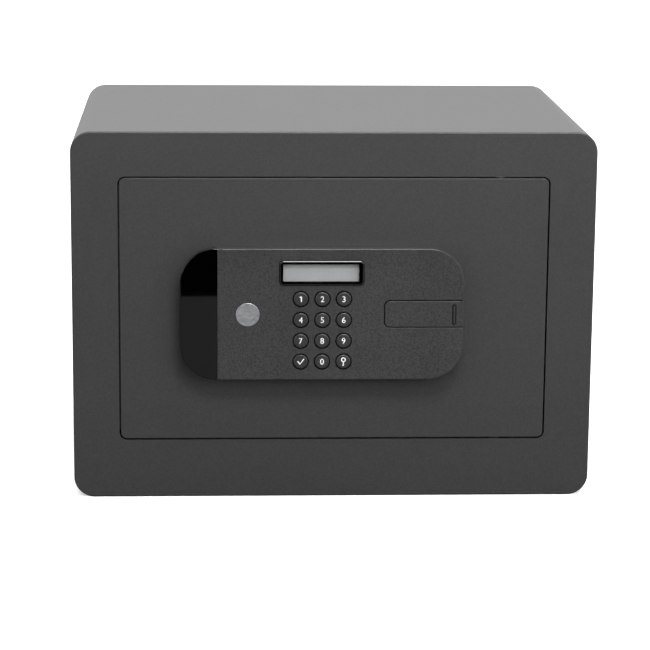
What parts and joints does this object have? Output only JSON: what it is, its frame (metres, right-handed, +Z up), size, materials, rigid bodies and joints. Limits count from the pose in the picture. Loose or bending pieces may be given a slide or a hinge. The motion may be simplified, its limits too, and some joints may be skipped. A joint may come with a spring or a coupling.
{
  "type": "in-room safe",
  "caption": "Compact steel in-room safe: wrapped body, flush door on a concealed hinge, motor-driven locking bolts, keypad panel with display and sliding override-lock cover.",
  "frame": {"origin": "centre of the body's footprint, on the underside, at the centre of the floor fixing holes", "axes": "+X to the right seen from the front, -Y out of the front face, +Z up"},
  "size_m": [0.35, 0.2659, 0.25],
  "materials": {
    "body_paint": "fine satin powder coat, anthracite",
    "door_paint": "fine satin powder coat, anthracite",
    "inner_paint": "satin powder coat",
    "felt": "needle felt",
    "zinc_steel": "zinc plated",
    "bright_steel": "bright chrome plated",
    "bronze": "plain sintered bronze",
    "screw_steel": "zinc plated",
    "motor_plastic": "moulded",
    "cable_sheath": "smooth sheath",
    "cover_plastic": "fine moulded grain",
    "battery_wrap": "printed film wrap",
    "gloss_black": "polished",
    "fascia_plastic": "moulded spark grain",
    "board_green": "solder mask",
    "key_rubber": "moulded silicone",
    "display_grey": "reflective display, off",
    "clear_window": "clear",
    "badge_metal": "fine satin, plain",
    "lock_brass": "nickel plated",
    "key_plastic": "satin moulded, white legend"
  },
  "bodies": {
    "body": {"body_shell": "body_paint", "front_frame": "body_paint", "back_plate": "body_paint", "floor_mat": "felt", "door_stop_top": "inner_paint", "door_stop_bottom": "inner_paint", "door_stop_left": "inner_paint", "bolt_keeper": "zinc_steel", "upper_hinge_block": "inner_paint", "lower_hinge_block": "inner_paint", "hinge_bushes": "bronze"},
    "door": {"door_plate": "door_paint", "door_hinge_blocks": "inner_paint", "hinge_pins": "zinc_steel", "bolt_guide": "zinc_steel", "motor_bracket": "zinc_steel", "gear_motor": "motor_plastic", "motor_cable": "cable_sheath", "cover_posts": "zinc_steel", "inner_cover": "cover_plastic", "inner_cover_screws": "screw_steel", "battery_holder": "cover_plastic", "battery_contacts": "zinc_steel", "battery_hinge_pin": "zinc_steel", "battery_1": "battery_wrap", "battery_2": "battery_wrap", "battery_3": "battery_wrap", "battery_4": "battery_wrap", "panel_base": "gloss_black", "grip_end": "gloss_black", "lock_well": "gloss_black", "panel_screws": "screw_steel", "fascia": "fascia_plastic", "circuit_board": "board_green", "key_mat": "key_rubber", "display_module": "display_grey", "display_window": "clear_window", "display_bezel": "gloss_black", "badge_disc": "badge_metal", "override_cylinder": "lock_brass", "cylinder_nut": "zinc_steel"},
    "bolts": {"bolt_carriage": "zinc_steel", "locking_bolts": "bright_steel"},
    "drive_pinion": {"drive_pinion": "zinc_steel"},
    "override_lock": {"override_plug": "lock_brass", "override_cam": "zinc_steel"},
    "override_cover": {"override_cover": "fascia_plastic"},
    "battery_cover": {"battery_cover": "cover_plastic"},
    "key_1": {"key_1": "key_plastic"},
    "key_2": {"key_2": "key_plastic"},
    "key_3": {"key_3": "key_plastic"},
    "key_4": {"key_4": "key_plastic"},
    "key_5": {"key_5": "key_plastic"},
    "key_6": {"key_6": "key_plastic"},
    "key_7": {"key_7": "key_plastic"},
    "key_8": {"key_8": "key_plastic"},
    "key_9": {"key_9": "key_plastic"},
    "key_enter": {"key_enter": "key_plastic"},
    "key_0": {"key_0": "key_plastic"},
    "key_menu": {"key_menu": "key_plastic"}
  },
  "joints": [
    {"name": "door_swing", "type": "hinge", "parent": "body", "child": "door", "pos_m": [0.111, -0.1182, 0.13], "axis": [0, 0, 1], "range_deg": [0, 110]},
    {"name": "bolt_throw", "type": "slide", "parent": "door", "child": "bolts", "axis": [-1, 0, 0], "range_m": [0, 0.02]},
    {"name": "drive_pinion_spin", "type": "hinge", "parent": "door", "child": "drive_pinion", "pos_m": [-0.066, -0.093, 0.07663], "axis": [0, -1, 0], "range_deg": [0, 145]},
    {"name": "override_turn", "type": "hinge", "parent": "door", "child": "override_lock", "pos_m": [0.046, -0.115, 0.13], "axis": [0, 1, 0], "range_deg": [0, 90]},
    {"name": "cover_slide", "type": "slide", "parent": "door", "child": "override_cover", "axis": [1, 0, 0], "range_m": [0, 0.028]},
    {"name": "battery_cover_swing", "type": "hinge", "parent": "door", "child": "battery_cover", "pos_m": [0.073, -0.0732, 0.131], "axis": [0, 0, -1], "range_deg": [0, 100]},
    {"name": "key_1_press", "type": "slide", "parent": "door", "child": "key_1", "axis": [0, 1, 0], "range_m": [0, 0.0009], "stiffness_N_per_m": 500},
    {"name": "key_2_press", "type": "slide", "parent": "door", "child": "key_2", "axis": [0, 1, 0], "range_m": [0, 0.0009], "stiffness_N_per_m": 500},
    {"name": "key_3_press", "type": "slide", "parent": "door", "child": "key_3", "axis": [0, 1, 0], "range_m": [0, 0.0009], "stiffness_N_per_m": 500},
    {"name": "key_4_press", "type": "slide", "parent": "door", "child": "key_4", "axis": [0, 1, 0], "range_m": [0, 0.0009], "stiffness_N_per_m": 500},
    {"name": "key_5_press", "type": "slide", "parent": "door", "child": "key_5", "axis": [0, 1, 0], "range_m": [0, 0.0009], "stiffness_N_per_m": 500},
    {"name": "key_6_press", "type": "slide", "parent": "door", "child": "key_6", "axis": [0, 1, 0], "range_m": [0, 0.0009], "stiffness_N_per_m": 500},
    {"name": "key_7_press", "type": "slide", "parent": "door", "child": "key_7", "axis": [0, 1, 0], "range_m": [0, 0.0009], "stiffness_N_per_m": 500},
    {"name": "key_8_press", "type": "slide", "parent": "door", "child": "key_8", "axis": [0, 1, 0], "range_m": [0, 0.0009], "stiffness_N_per_m": 500},
    {"name": "key_9_press", "type": "slide", "parent": "door", "child": "key_9", "axis": [0, 1, 0], "range_m": [0, 0.0009], "stiffness_N_per_m": 500},
    {"name": "key_enter_press", "type": "slide", "parent": "door", "child": "key_enter", "axis": [0, 1, 0], "range_m": [0, 0.0009], "stiffness_N_per_m": 500},
    {"name": "key_0_press", "type": "slide", "parent": "door", "child": "key_0", "axis": [0, 1, 0], "range_m": [0, 0.0009], "stiffness_N_per_m": 500},
    {"name": "key_menu_press", "type": "slide", "parent": "door", "child": "key_menu", "axis": [0, 1, 0], "range_m": [0, 0.0009], "stiffness_N_per_m": 500}
  ],
  "couplings": [
    {"joint": "drive_pinion_spin", "follows": "bolt_throw", "rad_per_m": 125}
  ]
}
